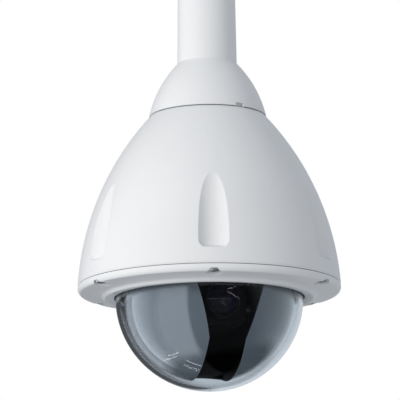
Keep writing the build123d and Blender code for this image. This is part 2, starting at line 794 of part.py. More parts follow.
pan_bearing_inner = flat_ring(
    RACE_INNER, SHAFT_RADIUS + SLIP, BEARING_LEVEL, BEARING_LEVEL + BEARING_HEIGHT
)
pan_bearing_inner.part.label = "pan_bearing_inner"
export_step(pan_bearing_inner.part, "parts/pan_bearing_inner.step")

BALL_RADIUS = 1.75
with BuildPart() as pan_bearing_balls:
    with Locations(level(BEARING_LEVEL + BEARING_HEIGHT / 2)):
        with PolarLocations(RACE_INNER + BALL_RADIUS + SLIP, 18):
            Sphere(BALL_RADIUS)
pan_bearing_balls.part.label = "pan_bearing_balls"
export_step(pan_bearing_balls.part, "parts/pan_bearing_balls.step")

SENSOR_FLAG_RADIUS = 56.0
with BuildPart() as pan_home_sensor:
    with BuildSketch(level(HUB_FOOT)):
        with Locations((-SENSOR_FLAG_RADIUS, 0)):
            Rectangle(12, 12)
    extrude(amount=BASE_LEVEL - HUB_FOOT)
    with BuildSketch(level(HUB_FOOT)):
        with Locations((-SENSOR_FLAG_RADIUS, 0)):
            Rectangle(3, 12)
    extrude(amount=7, mode=Mode.SUBTRACT)
pan_home_sensor.part.label = "pan_home_sensor"
export_step(pan_home_sensor.part, "parts/pan_home_sensor.step")

PLATFORM_TOP = PLATFORM_LEVEL + PLATE
SHAFT_TOP = 76.0
with BuildPart() as pan_shaft:
    with BuildSketch(level(PLATFORM_TOP)):
        Circle(20)
    extrude(amount=PLATE)
    with BuildSketch(level(PLATFORM_TOP)):
        Circle(SHAFT_RADIUS)
    extrude(amount=SHAFT_TOP - PLATFORM_TOP)
    with BuildSketch(level(PLATFORM_TOP)):
        Circle(SHAFT_BORE)
    extrude(amount=SHAFT_TOP - PLATFORM_TOP, mode=Mode.SUBTRACT)
pan_shaft.part.label = "pan_shaft"
export_step(pan_shaft.part, "parts/pan_shaft.step")

with BuildPart() as slip_ring_rotor:
    with BuildSketch(level(SHAFT_TOP)):
        Circle(12)
    extrude(amount=2)
    with BuildSketch(level(SHAFT_TOP + 2)):
        Circle(7)
    extrude(amount=ROTOR_TOP - SHAFT_TOP - 2)
    with BuildSketch(level(SHAFT_TOP)):
        Circle(3)
    extrude(amount=12, mode=Mode.SUBTRACT)
slip_ring_rotor.part.label = "slip_ring_rotor"
export_step(slip_ring_rotor.part, "parts/slip_ring_rotor.step")

pan_gear_disc = spur_gear(
    level(GEAR_LEVEL), PAN_MODULE, PAN_TEETH, SHAFT_RADIUS + SLIP, GEAR_HEIGHT, 0
)
with BuildPart() as pan_gear:
    add(pan_gear_disc.part)
    with BuildSketch(level(GEAR_LEVEL + GEAR_HEIGHT)):
        Circle(18)
        Circle(SHAFT_RADIUS + SLIP, mode=Mode.SUBTRACT)
    extrude(amount=4)
    with BuildSketch(level(GEAR_LEVEL)):
        with PolarLocations(26, 6):
            Circle(5.5)
    extrude(amount=GEAR_HEIGHT, mode=Mode.SUBTRACT)
pan_gear.part.label = "pan_gear"
export_step(pan_gear.part, "parts/pan_gear.step")

YOKE_SCREW_PLACES = [(x, y) for x in (-36, 36) for y in (-10, 10)]
SHROUD_POST_PLACES = [polar(54, 45 + 90 * i) for i in range(4)]
with BuildPart() as pan_platform:
    with BuildSketch(level(PLATFORM_LEVEL)):
        Circle(PLATFORM_RADIUS)
        Circle(SHAFT_BORE, mode=Mode.SUBTRACT)
        with Locations(*YOKE_SCREW_PLACES):
            Circle(1.6, mode=Mode.SUBTRACT)
        with Locations(*SHROUD_POST_PLACES):
            Circle(1.5 + SLIP, mode=Mode.SUBTRACT)
    extrude(amount=PLATE)
pan_platform.part.label = "pan_platform"
export_step(pan_platform.part, "parts/pan_platform.step")

with BuildPart() as pan_home_flag:
    with BuildSketch(level(PLATFORM_TOP)):
        with Locations((-SENSOR_FLAG_RADIUS, 0)):
            Rectangle(1, 8)
            with Locations((2, 0)):
                Rectangle(5, 8)
    extrude(amount=1)
    with BuildSketch(level(PLATFORM_TOP)):
        with Locations((-SENSOR_FLAG_RADIUS, 0)):
            Rectangle(1, 8)
    extrude(amount=65 - PLATFORM_TOP)
pan_home_flag.part.label = "pan_home_flag"
export_step(pan_home_flag.part, "parts/pan_home_flag.step")

with BuildPart() as drive_board:
    with BuildSketch(level(PLATFORM_LEVEL - 1.6)):
        RectangleRounded(48, 72, 3)
    extrude(amount=1.6)
    with BuildSketch(level(PLATFORM_LEVEL - 1.6)):
        with Locations((-12, 24), (12, 24), (0, -22)):
            Rectangle(10, 10)
    extrude(amount=-1.6)
    with BuildSketch(level(PLATFORM_LEVEL - 1.6)):
        with Locations((0, 31), (-14, -30)):
            Rectangle(12, 5)
    extrude(amount=-4)
drive_board.part.label = "drive_board"
export_step(drive_board.part, "parts/drive_board.step")

# ---------------------------------------------------------------- tilt yoke and shroud


def yoke_arm(direction, motor_hole):
    """Side arm of the tilt yoke with its foot under the platform; direction is +1 or -1."""
    top = PLATFORM_LEVEL - TILT_LEVEL
    with BuildPart() as arm:
        with BuildSketch(side(direction * ARM_INNER)):
            with BuildLine():
                Polyline((-16, top), (-16, top - 20), (-9, 4), (-9, 0))
                ThreePointArc((-9, 0), (0, -9), (9, 0))
                Polyline((9, 0), (9, 4), (16, top - 20), (16, top), (-16, top))
            make_face()
            Circle(5 + SLIP, mode=Mode.SUBTRACT)
            if motor_hole:
                with Locations((0, TILT_CENTRES)):
                    Circle(3, mode=Mode.SUBTRACT)
        extrude(amount=direction * PLATE)
        with BuildSketch(level(PLATFORM_LEVEL - PLATE)):
            with Locations((direction * 35.5, 0)):
                Rectangle(17, 32)
            with Locations(*[place for place in YOKE_SCREW_PLACES if place[0] * direction > 0]):
                Circle(1.5 + SLIP, mode=Mode.SUBTRACT)
        extrude(amount=PLATE)
    return arm


yoke_left = yoke_arm(-1, False)
yoke_left.part.label = "yoke_left"
export_step(yoke_left.part, "parts/yoke_left.step")

yoke_right = yoke_arm(1, True)
yoke_right.part.label = "yoke_right"
export_step(yoke_right.part, "parts/yoke_right.step")

yoke_screws = screws(level(PLATFORM_TOP), YOKE_SCREW_PLACES, 2.8, 2.0, 1.5, 5.8, 1.2)
yoke_screws.part.label = "yoke_screws"
export_step(yoke_screws.part, "parts/yoke_screws.step")

with BuildPart() as tilt_bushings:
    with BuildSketch(side(-ARM_INNER - PLATE - 0.6)):
        Circle(5)
        Circle(3 + RUN, mode=Mode.SUBTRACT)
    extrude(amount=PLATE + 1.2)
    with BuildSketch(side(ARM_INNER - 0.6)):
        Circle(5)
        Circle(3 + RUN, mode=Mode.SUBTRACT)
    extrude(amount=PLATE + 1.2)
tilt_bushings.part.label = "tilt_bushings"
export_step(tilt_bushings.part, "parts/tilt_bushings.step")

with BuildPart() as tilt_motor:
    with BuildSketch(side(ARM_INNER + PLATE)):
        with Locations((0, TILT_CENTRES)):
            Circle(10)
    extrude(amount=14)
    with BuildSketch(side(ARM_INNER + PLATE)):
        with Locations((0, TILT_CENTRES)):
            SlotCenterToCenter(22, 6)
            Circle(10)
    extrude(amount=1)
    with BuildSketch(side(ARM_INNER + PLATE)):
        with Locations((0, TILT_CENTRES)):
            Circle(1.8)
    extrude(amount=12.5, mode=Mode.SUBTRACT)
tilt_motor.part.label = "tilt_motor"
export_step(tilt_motor.part, "parts/tilt_motor.step")

TILT_GEAR_X = 34.0
TILT_GEAR_WIDTH = 4.0
tilt_pinion_gear = spur_gear(
    Plane(
        origin=(TILT_GEAR_X, 0, SEAM + TILT_LEVEL + TILT_CENTRES), x_dir=(0, 1, 0), z_dir=(1, 0, 0)
    ),
    TILT_MODULE,
    PINION_TEETH,
    0.5,
    TILT_GEAR_WIDTH,
    270 + 180 / PINION_TEETH,
)
with BuildPart() as tilt_pinion:
    add(tilt_pinion_gear.part)
    with BuildSketch(side(TILT_GEAR_X - 1)):
        with Locations((0, TILT_CENTRES)):
            Circle(1.5)
    extrude(amount=ARM_INNER + PLATE + 12 - TILT_GEAR_X + 1)
tilt_pinion.part.label = "tilt_pinion"
export_step(tilt_pinion.part, "parts/tilt_pinion.step")

SLOT_HALF_TOP = 27.0
SLOT_HALF_KNEE = 15.0
SLOT_KNEE = -51.0
SLOT_TOP = 12.0
shroud_shell = bowl(SHROUD_RADIUS, SHROUD_WALL, SHROUD_LIP)
with BuildPart() as lens_shroud:
    add(shroud_shell.part)
    with BuildSketch(level(SHROUD_LIP)):
        Circle(SHROUD_RADIUS)
        Circle(50, mode=Mode.SUBTRACT)
        with Locations(*SHROUD_POST_PLACES):
            Circle(1.5 + SLIP, mode=Mode.SUBTRACT)
    extrude(amount=1.5)
    with BuildSketch(Plane.XZ.offset(14)):
        with BuildLine():
            Polyline(
                (-SLOT_HALF_KNEE, SEAM - 90),
                (-SLOT_HALF_KNEE, SEAM + SLOT_KNEE),
                (-SLOT_HALF_TOP, SEAM + BUBBLE_CENTRE),
                (-SLOT_HALF_TOP, SEAM + SLOT_TOP),
                (SLOT_HALF_TOP, SEAM + SLOT_TOP),
                (SLOT_HALF_TOP, SEAM + BUBBLE_CENTRE),
                (SLOT_HALF_KNEE, SEAM + SLOT_KNEE),
                (SLOT_HALF_KNEE, SEAM - 90),
                close=True,
            )
        make_face()
    extrude(amount=70, mode=Mode.SUBTRACT)
    with BuildSketch(level(-90)):
        SlotCenterToCenter(28, 2 * SLOT_HALF_KNEE, rotation=90)
    extrude(amount=30, mode=Mode.SUBTRACT)
lens_shroud.part.label = "lens_shroud"
export_step(lens_shroud.part, "parts/lens_shroud.step")

with BuildPart() as shroud_posts:
    with BuildSketch(level(SHROUD_LIP + 1.5)):
        with Locations(*SHROUD_POST_PLACES):
            Circle(3)
    extrude(amount=PLATFORM_LEVEL - SHROUD_LIP - 1.5)
    with BuildSketch(level(SHROUD_LIP)):
        with Locations(*SHROUD_POST_PLACES):
            Circle(1.5)
    extrude(amount=PLATFORM_TOP - SHROUD_LIP)
shroud_posts.part.label = "shroud_posts"
export_step(shroud_posts.part, "parts/shroud_posts.step")

# ---------------------------------------------------------------- camera

CASE_WALL = 1.6
BARREL_FRONT = -44.0
MOUNT_REAR = 10.0


def case_outline_plate(front, thickness):
    """Rounded plate that closes the case across the lens axis, behind a front face."""
    with BuildPart() as plate:
        with BuildSketch(facing(front)):
            RectangleRounded(CASE_WIDTH, CASE_HEIGHT, 6)
        extrude(amount=-thickness)
    return plate


with BuildPart() as camera_case:
    with BuildSketch(facing(CASE_FRONT)):
        RectangleRounded(CASE_WIDTH, CASE_HEIGHT, 6)
        RectangleRounded(CASE_WIDTH - 2 * CASE_WALL, CASE_HEIGHT - 2 * CASE_WALL, 4.4, mode=Mode.SUBTRACT)
    extrude(amount=CASE_FRONT - CASE_REAR)
camera_case.part.label = "camera_case"
export_step(camera_case.part, "parts/camera_case.step")

FRONT_COVER = 2.5
front_blank = case_outline_plate(CASE_FRONT - FRONT_COVER, FRONT_COVER)
with BuildPart() as case_front:
    add(front_blank.part)
    with BuildSketch(facing(CASE_FRONT - FRONT_COVER)):
        Circle(BARREL_RADIUS + SLIP)
    extrude(amount=-FRONT_COVER, mode=Mode.SUBTRACT)
case_front.part.label = "case_front"
export_step(case_front.part, "parts/case_front.step")

rear_blank = case_outline_plate(CASE_REAR, 2.5)
with BuildPart() as case_rear:
    add(rear_blank.part)
    with BuildSketch(facing(CASE_REAR)):
        with GridLocations(0, 5, 1, 5):
            SlotOverall(24, 2)
    extrude(amount=-2.5, mode=Mode.SUBTRACT)
case_rear.part.label = "case_rear"
export_step(case_rear.part, "parts/case_rear.step")

with BuildPart() as lens_barrel:
    with BuildSketch(facing(BARREL_FRONT)):
        Circle(BARREL_RADIUS)
        Circle(BARREL_BORE, mode=Mode.SUBTRACT)
    extrude(amount=BARREL_FRONT - MOUNT_REAR)
    with BuildSketch(facing(MOUNT_REAR - 2)):
        RectangleRounded(34, 30, 3)
        Rectangle(12, 9, mode=Mode.SUBTRACT)
    extrude(amount=-2)
    with BuildSketch(facing(BARREL_FRONT + 5)):
        Circle(BARREL_BORE)
        Circle(11.6, mode=Mode.SUBTRACT)
    extrude(amount=-2)
lens_barrel.part.label = "lens_barrel"
export_step(lens_barrel.part, "parts/lens_barrel.step")

LENS_REAR = BARREL_FRONT + 5
with BuildPart() as front_lens:
    with BuildSketch(facing(LENS_REAR)):
        Circle(BARREL_BORE - 0.05)
    extrude(amount=4.5)
    with Locations((0, LENS_REAR + 24, SEAM + TILT_LEVEL)):
        Sphere(28.4, mode=Mode.INTERSECT)
front_lens.part.label = "front_lens"
export_step(front_lens.part, "parts/front_lens.step")

ROD_PLACES = [(-ROD_OFFSET, 0), (ROD_OFFSET, 0)]
ROD_FRONT = LENS_REAR + 2
with BuildPart() as guide_rods:
    with BuildSketch(facing(ROD_FRONT)):
        with Locations(*ROD_PLACES):
            Circle(0.8)
    extrude(amount=ROD_FRONT - MOUNT_REAR + 2)
guide_rods.part.label = "guide_rods"
export_step(guide_rods.part, "parts/guide_rods.step")


def lens_carrier(front, length, lens_radius):
    """Ring that holds a lens group and slides on the two guide rods."""
    with BuildPart() as carrier:
        with BuildSketch(facing(front)):
            Circle(BARREL_BORE - 0.5)
            Circle(lens_radius, mode=Mode.SUBTRACT)
            with Locations(*ROD_PLACES):
                Circle(0.8 + RUN, mode=Mode.SUBTRACT)
        extrude(amount=-length)
    return carrier


def lens_element(front, thickness, radius):
    """Lens group as one biconvex glass in its carrier."""
    ball = 2.2 * radius
    sag = ball - math.sqrt(ball**2 - radius**2)
    height = SEAM + TILT_LEVEL
    with BuildPart() as element:
        with BuildSketch(facing(front)):
            Circle(radius - SLIP)
        extrude(amount=-thickness)
        with Locations((0, front + ball, height)):
            Sphere(ball, mode=Mode.INTERSECT)
        with Locations((0, front + thickness - ball, height)):
            Sphere(ball, mode=Mode.INTERSECT)
    assert thickness > 2 * sag
    return element


ZOOM_FRONT = -30.0
ZOOM_LENS_RADIUS = 8.5
zoom_carrier = lens_carrier(ZOOM_FRONT, 8, ZOOM_LENS_RADIUS)
zoom_carrier.part.label = "zoom_carrier"
export_step(zoom_carrier.part, "parts/zoom_carrier.step")

zoom_lens = lens_element(ZOOM_FRONT + 1, 6, ZOOM_LENS_RADIUS)
zoom_lens.part.label = "zoom_lens"
export_step(zoom_lens.part, "parts/zoom_lens.step")

FOCUS_FRONT = -9.0
FOCUS_LENS_RADIUS = 7.5
focus_carrier = lens_carrier(FOCUS_FRONT, 6, FOCUS_LENS_RADIUS)
focus_carrier.part.label = "focus_carrier"
export_step(focus_carrier.part, "parts/focus_carrier.step")

focus_lens = lens_element(FOCUS_FRONT + 0.5, 5, FOCUS_LENS_RADIUS)
focus_lens.part.label = "focus_lens"
export_step(focus_lens.part, "parts/focus_lens.step")

with BuildPart() as sensor_board:
    with BuildSketch(facing(MOUNT_REAR)):
        RectangleRounded(32, 28, 2)
    extrude(amount=-1.4)
    with BuildSketch(facing(MOUNT_REAR + 1.4)):
        with Locations((-7, 4), (6, -5)):
            Rectangle(9, 9)
    extrude(amount=-1.2)
sensor_board.part.label = "sensor_board"
export_step(sensor_board.part, "parts/sensor_board.step")

with BuildPart() as image_sensor:
    with BuildSketch(facing(MOUNT_REAR - 1.6)):
        Rectangle(10, 8)
    extrude(amount=-1.6)
image_sensor.part.label = "image_sensor"
export_step(image_sensor.part, "parts/image_sensor.step")

SHAFT_END = ARM_INNER + PLATE + 0.5
with BuildPart() as tilt_shafts:
    with BuildSketch(side(CASE_WIDTH / 2)):
        Circle(7)
    extrude(amount=2)
    with BuildSketch(side(CASE_WIDTH / 2)):
        Circle(3)
    extrude(amount=SHAFT_END - CASE_WIDTH / 2)
    with BuildSketch(side(-CASE_WIDTH / 2)):
        Circle(7)
    extrude(amount=-2)
    with BuildSketch(side(-CASE_WIDTH / 2)):
        Circle(3)
    extrude(amount=-SHAFT_END + CASE_WIDTH / 2)
tilt_shafts.part.label = "tilt_shafts"
export_step(tilt_shafts.part, "parts/tilt_shafts.step")

tilt_gear_disc = spur_gear(
    side(TILT_GEAR_X), TILT_MODULE, TILT_TEETH, 3 + SLIP, TILT_GEAR_WIDTH, 90
)
with BuildPart() as tilt_gear:
    add(tilt_gear_disc.part)
    with BuildSketch(side(TILT_GEAR_X)):
        with PolarLocations(12, 6, start_angle=30):
            Circle(3.5)
    extrude(amount=TILT_GEAR_WIDTH, mode=Mode.SUBTRACT)
tilt_gear.part.label = "tilt_gear"
export_step(tilt_gear.part, "parts/tilt_gear.step")
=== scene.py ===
import cmath
import json
import math

import bmesh
import bpy
from mathutils import Matrix, Vector


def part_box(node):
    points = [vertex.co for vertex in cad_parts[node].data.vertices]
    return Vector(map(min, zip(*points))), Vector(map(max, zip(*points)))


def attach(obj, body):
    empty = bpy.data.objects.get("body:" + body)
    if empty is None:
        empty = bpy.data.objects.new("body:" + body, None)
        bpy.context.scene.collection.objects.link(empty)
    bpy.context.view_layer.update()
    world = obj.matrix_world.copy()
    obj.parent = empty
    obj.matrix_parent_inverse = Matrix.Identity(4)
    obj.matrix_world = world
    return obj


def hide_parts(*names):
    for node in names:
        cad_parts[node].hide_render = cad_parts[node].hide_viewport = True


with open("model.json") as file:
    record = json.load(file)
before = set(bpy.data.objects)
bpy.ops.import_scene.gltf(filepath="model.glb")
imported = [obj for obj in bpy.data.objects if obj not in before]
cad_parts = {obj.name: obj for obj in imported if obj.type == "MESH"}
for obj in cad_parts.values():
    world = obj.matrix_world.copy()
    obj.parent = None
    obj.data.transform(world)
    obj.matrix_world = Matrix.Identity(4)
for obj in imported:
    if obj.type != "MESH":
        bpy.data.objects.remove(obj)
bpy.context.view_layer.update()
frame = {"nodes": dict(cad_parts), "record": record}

NODES = frame["nodes"]
MM = 0.001

# ------------------------------------------------------------------ sizes from the frame

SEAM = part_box("bell_housing")[0].z
BELL_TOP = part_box("bell_housing")[1].z - SEAM

# The bell's outer wall is a single arc about a point in the half-section
BELL_ARC = 233.77 * MM
BELL_ARC_CENTRE = (-125.32 * MM, -15.79 * MM)
BELL_WALL = 3.2 * MM
BELL_DECK = 5.0 * MM
DECK_BORE = 22.0 * MM
FOOT_BREAK = 0.7 * MM
TOP_BREAK = 0.5 * MM
TOP_BREAK_DROP = 0.4 * MM

FLUTE_ANGLES = [math.radians(-103 + 60 * i) for i in range(6)]
FLUTE_DEPTH = 6.3 * MM
FLUTE_ROUND = 15.8 * MM
FLUTE_CORNER = 7.0 * MM
FLUTE_FOOT = 12.5 * MM
FLUTE_TIP = 76.5 * MM
FLUTE_FOOT_HALF = 12.4 * MM
FLUTE_FOOT_SLOPE = 2.2
FLUTE_SIDE_SLOPE = 2.6
# Each flute's own part of the bell's mesh reaches this many half widths to each side
FLUTE_MARGIN = 1.2
FLUTE_LEAST_HALF = 3.0 * MM
SCREW_CIRCLE = 102.0 * MM
SCREW_SEAT = -4.0 * MM
SCREW_POCKET = 6.2 * MM
SCREW_HOLE = 2.8 * MM
SHROUD_LINING = 69.5 * MM
BUBBLE_OUTER = 77.0 * MM
BUBBLE_WALL = 3.0 * MM
BUBBLE_CENTRE = -9.8 * MM


def bell_radius(height, inset=0.0):
    drop = height - BELL_ARC_CENTRE[1]
    return BELL_ARC_CENTRE[0] + math.sqrt((BELL_ARC - inset) ** 2 - drop**2)


# ------------------------------------------------------------------ camera

LENS_MM = 270.0
VIEW_ANGLE = math.radians(-105)
LOOK_UP = math.radians(11.44)
ROLL = math.radians(0.53)
DISTANCE = 2.460
SEAM_RIGHT = 0.0076
SEAM_DOWN = 0.0704
# Level directions from the object: towards the camera, and to the camera's right
FRONT = Vector((math.cos(VIEW_ANGLE), math.sin(VIEW_ANGLE), 0))
RIGHT = Vector((-FRONT.y, FRONT.x, 0))


def make_camera():
    ahead = Vector((0, 0, math.sin(LOOK_UP))) - FRONT * math.cos(LOOK_UP)
    level_up = RIGHT.cross(ahead)
    right = RIGHT * math.cos(ROLL) - level_up * math.sin(ROLL)
    up = RIGHT * math.sin(ROLL) + level_up * math.cos(ROLL)
    place = Vector((0, 0, SEAM)) - ahead * DISTANCE - right * SEAM_RIGHT + up * SEAM_DOWN
    data = bpy.data.cameras.new("camera")
    data.lens = LENS_MM
    data.sensor_width = 36.0
    data.clip_end = 50.0
    camera = bpy.data.objects.new("camera", data)
    axes = Matrix((right, up, -ahead)).transposed()
    camera.matrix_world = Matrix.Translation(place) @ axes.to_4x4()
    bpy.context.scene.collection.objects.link(camera)
    bpy.context.scene.camera = camera


# ------------------------------------------------------------------ node helpers


def fill_ramp(ramp, stops):
    elements = ramp.color_ramp.elements
    while len(elements) < len(stops):
        elements.new(0.5)
    for element, (place, colour) in zip(elements, stops):
        element.position = place
        element.color = (*colour, 1)


class Shade:
    """One node material with its principled shader and a few short ways to feed it."""

    def __init__(self, name, colour, roughness, metallic=0.0):
        self.material = bpy.data.materials.new(name)
        self.material.use_nodes = True
        self.tree = self.material.node_tree
        self.shader = self.tree.nodes["Principled BSDF"]
        self.shader.inputs["Base Color"].default_value = (*colour, 1)
        self.shader.inputs["Roughness"].default_value = roughness
        self.shader.inputs["Metallic"].default_value = metallic
        self.heights = None

    def node(self, kind, **values):
        made = self.tree.nodes.new(kind)
        for key, value in values.items():
            setattr(made, key, value)
        return made

    def link(self, source, target):
        self.tree.links.new(source, target)

    def noise(self, scale, detail=2.0, stretch=(1, 1, 1)):
        coords = self.node("ShaderNodeTexCoord")
        mapping = self.node("ShaderNodeMapping")
        mapping.inputs["Scale"].default_value = stretch
        noise = self.node("ShaderNodeTexNoise")
        noise.inputs["Scale"].default_value = scale
        noise.inputs["Detail"].default_value = detail
        self.link(coords.outputs["Object"], mapping.inputs["Vector"])
        self.link(mapping.outputs["Vector"], noise.inputs["Vector"])
        return noise.outputs["Fac"]

    def ramp(self, source, stops):
        ramp = self.node("ShaderNodeValToRGB")
        fill_ramp(ramp, stops)
        self.link(source, ramp.inputs["Fac"])
        return ramp.outputs["Color"]

    def tint(self, source, low, high, spread=(0.3, 0.7)):
        """Colour that wanders between two tones."""
        colour = self.ramp(source, [(spread[0], low), (spread[1], high)])
        self.link(colour, self.shader.inputs["Base Color"])

    def polish(self, source, low, high):
        """Roughness that wanders between two values."""
        values = self.node("ShaderNodeMapRange")
        values.inputs["To Min"].default_value = low
        values.inputs["To Max"].default_value = high
        self.link(source, values.inputs["Value"])
        self.link(values.outputs["Result"], self.shader.inputs["Roughness"])

    def bump(self, source, distance, strength=1.0):
        bump = self.node("ShaderNodeBump")
        bump.inputs["Distance"].default_value = distance
        bump.inputs["Strength"].default_value = strength
        self.link(source, bump.inputs["Height"])
        if self.heights is not None:
            self.link(self.heights, bump.inputs["Normal"])
        self.heights = bump.outputs["Normal"]
        self.link(self.heights, self.shader.inputs["Normal"])

    def set(self, **values):
        for key, value in values.items():
            self.shader.inputs[key.replace("_", " ")].default_value = value
        return self


def powder_coat(name, tone, grain, depth):
    """Stoved powder coat: orange peel of a fixed grain, faint tone and gloss drift."""
    shade = Shade(name, tone, 0.4)
    drift = shade.noise(14, 3)
    low = tuple(channel * 0.972 for channel in tone)
    shade.tint(drift, low, tone)
    peel = shade.noise(grain, 2.5)
    shade.polish(peel, 0.36, 0.56)
    shade.bump(peel, depth, 0.55)
    shade.bump(shade.noise(grain * 0.34, 1.0), depth * 2.2, 0.35)
    shade.set(Specular_IOR_Level=0.45, Coat_Weight=0.08, Coat_Roughness=0.3)
    return shade.material


def rubber():
    shade = Shade("gasket_rubber", (0.018, 0.018, 0.02), 0.7)
    grain = shade.noise(1500, 3)
    shade.tint(grain, (0.012, 0.012, 0.014), (0.03, 0.03, 0.033))
    shade.bump(grain, 0.00004, 0.6)
    shade.polish(shade.noise(220, 2), 0.62, 0.82)
    return shade.material


def metal(name, tone, roughness, stretch, grain=1400, metallic=1.0):
    """Brushed or turned metal: fine lines along one direction, a little tarnish."""
    shade = Shade(name, tone, roughness, metallic)
    lines = shade.noise(grain, 3, stretch)
    low = tuple(channel * 0.8 for channel in tone)
    shade.tint(shade.noise(90, 3), low, tone)
    shade.polish(lines, roughness * 0.7, roughness * 1.4)
    shade.bump(lines, 0.000012, 0.5)
    return shade.material


def moulded(name, tone, roughness, grain=1800, depth=0.00002, coat=0.0):
    """Moulded plastic with a spark-eroded grain."""
    shade = Shade(name, tone, roughness)
    texture = shade.noise(grain, 2)
    low = tuple(channel * 0.86 for channel in tone)
    shade.tint(shade.noise(40, 3), low, tone)
    shade.polish(texture, roughness * 0.85, min(roughness * 1.2, 1))
    shade.bump(texture, depth, 0.5)
    shade.set(Coat_Weight=coat, Coat_Roughness=0.06)
    return shade.material


def glossy_shell():
    """Smooth lacquered grey shell that mirrors the studio; matt black where it is hollow."""
    shade = Shade("shroud_plastic", (0.178, 0.206, 0.234), 0.05)
    drift = shade.noise(30, 2)
    shade.tint(drift, (0.173, 0.201, 0.229), (0.183, 0.211, 0.239))
    shade.polish(drift, 0.035, 0.05)
    shade.set(Specular_IOR_Level=0.9, Coat_Weight=1.0, Coat_Roughness=0.015)
    coords = shade.node("ShaderNodeTexCoord")
    reach = shade.node("ShaderNodeVectorMath", operation="DISTANCE")
    reach.inputs[1].default_value = (0, 0, SEAM + BUBBLE_CENTRE)
    outer = shade.node("ShaderNodeMath", operation="GREATER_THAN")
    outer.inputs[1].default_value = SHROUD_LINING
    lining = shade.node("ShaderNodeBsdfPrincipled")
    lining.inputs["Base Color"].default_value = (0.008, 0.008, 0.009, 1)
    lining.inputs["Roughness"].default_value = 0.8
    mix = shade.node("ShaderNodeMixShader")
    shade.link(coords.outputs["Object"], reach.inputs[0])
    shade.link(reach.outputs["Value"], outer.inputs[0])
    shade.link(outer.outputs["Value"], mix.inputs["Fac"])
    shade.link(lining.outputs["BSDF"], mix.inputs[1])
    shade.link(shade.shader.outputs["BSDF"], mix.inputs[2])
    shade.link(mix.outputs["Shader"], shade.tree.nodes["Material Output"].inputs["Surface"])
    return shade.material


def circuit_board():
    """Green solder mask with tinned tracks and pads."""
    shade = Shade("circuit_board", (0.03, 0.16, 0.08), 0.35)
    coords = shade.node("ShaderNodeTexCoord")
    tracks = shade.node("ShaderNodeTexBrick")
    tracks.inputs["Scale"].default_value = 260
    tracks.inputs["Mortar Size"].default_value = 0.06
    tracks.inputs["Color1"].default_value = (0.02, 0.12, 0.06, 1)
    tracks.inputs["Color2"].default_value = (0.03, 0.17, 0.08, 1)
    tracks.inputs["Mortar"].default_value = (0.12, 0.34, 0.16, 1)
    shade.link(coords.outputs["Object"], tracks.inputs["Vector"])
    shade.link(tracks.outputs["Color"], shade.shader.inputs["Base Color"])
    shade.bump(tracks.outputs["Fac"], 0.00003, 0.4)
    shade.polish(shade.noise(500, 2), 0.25, 0.45)
    return shade.material


def lens_with_painted_sheen():
    """Dark optical glass; its violet to green coating shows as a painted sheen, a base colour that turns with
    the facing angle towards the edge.
    """
    shade = Shade("lens_glass", (0.01, 0.01, 0.016), 0.04)
    facing = shade.node("ShaderNodeLayerWeight")
    facing.inputs["Blend"].default_value = 0.35
    # painted sheen: the coating's coloured reflection is put into the base colour by facing angle, not by how
    # light falls
    sheen_tones = [(0.0, (0.01, 0.012, 0.02)), (0.45, (0.05, 0.02, 0.09)), (0.8, (0.03, 0.09, 0.08))]
    coating_sheen = shade.ramp(facing.outputs["Facing"], sheen_tones)
    shade.link(coating_sheen, shade.shader.inputs["Base Color"])
    shade.polish(shade.noise(60, 2), 0.02, 0.05)
    shade.set(Coat_Weight=1.0, Coat_Roughness=0.02, Specular_IOR_Level=0.8)
    return shade.material


def bubble_material():
    """Polished clear bubble with a faint smoke tint; lamps and soft light reach what is inside it."""
    shade = Shade("bubble", (0.93, 0.955, 0.97), 0.0)
    shade.set(Transmission_Weight=1.0, IOR=1.49)
    shade.tint(shade.noise(22, 2), (0.915, 0.94, 0.957), (0.935, 0.957, 0.972))
    clear = shade.node("ShaderNodeBsdfTransparent")
    clear.inputs["Color"].default_value = (0.9, 0.92, 0.935, 1)
    path = shade.node("ShaderNodeLightPath")
    light = shade.node("ShaderNodeMath", operation="MAXIMUM")
    shade.link(path.outputs["Is Shadow Ray"], light.inputs[0])
    shade.link(path.outputs["Is Diffuse Ray"], light.inputs[1])
    mix = shade.node("ShaderNodeMixShader")
    shade.link(light.outputs["Value"], mix.inputs["Fac"])
    shade.link(shade.shader.outputs["BSDF"], mix.inputs[1])
    shade.link(clear.outputs["BSDF"], mix.inputs[2])
    shade.link(mix.outputs["Shader"], shade.tree.nodes["Material Output"].inputs["Surface"])
    return shade.material


HOUSING = powder_coat("housing_paint", (0.855, 0.862, 0.87), 560, 0.00014)
POLE = powder_coat("pole_paint", (0.86, 0.868, 0.876), 900, 0.00003)
RUBBER = rubber()
STAINLESS = metal("stainless", (0.66, 0.66, 0.63), 0.26, (1, 1, 8), metallic=0.72)
SHROUD = glossy_shell()
BLACK = moulded("black_plastic", (0.012, 0.012, 0.013), 0.5)
BUBBLE = bubble_material()

SLOT_MATERIALS = {
    "pole_paint": POLE,
    "housing_paint": HOUSING,
    "gasket_rubber": RUBBER,
    "stainless": STAINLESS,
    "zinc_steel": metal("zinc_steel", (0.52, 0.54, 0.55), 0.36, (6, 6, 1), 600),
    "bubble": BUBBLE,
    "shroud_plastic": SHROUD,
    "black_plastic": BLACK,
    "lens_glass": lens_with_painted_sheen(),
    "circuit_board": circuit_board(),
    "terminal_plastic": moulded("terminal_plastic", (0.05, 0.24, 0.12), 0.45),
    "aluminium": metal("aluminium", (0.72, 0.73, 0.74), 0.34, (1, 12, 12), 500),
    "brass": metal("brass", (0.72, 0.53, 0.24), 0.28, (1, 1, 10), 900),
    "gear_plastic": moulded("gear_plastic", (0.74, 0.73, 0.68), 0.5, 1200),
}


def dress_cad_nodes():
    for entry in frame["record"]["subparts"]:
        mesh = NODES[entry["node"]].data
        mesh.materials.clear()
        mesh.materials.append(SLOT_MATERIALS[entry["material_slot"]])


# ------------------------------------------------------------------ mesh helpers


def smooth(mesh, sharp):
    for polygon in mesh.polygons:
        polygon.use_smooth = True
    mesh.set_sharp_from_angle(angle=math.radians(sharp))


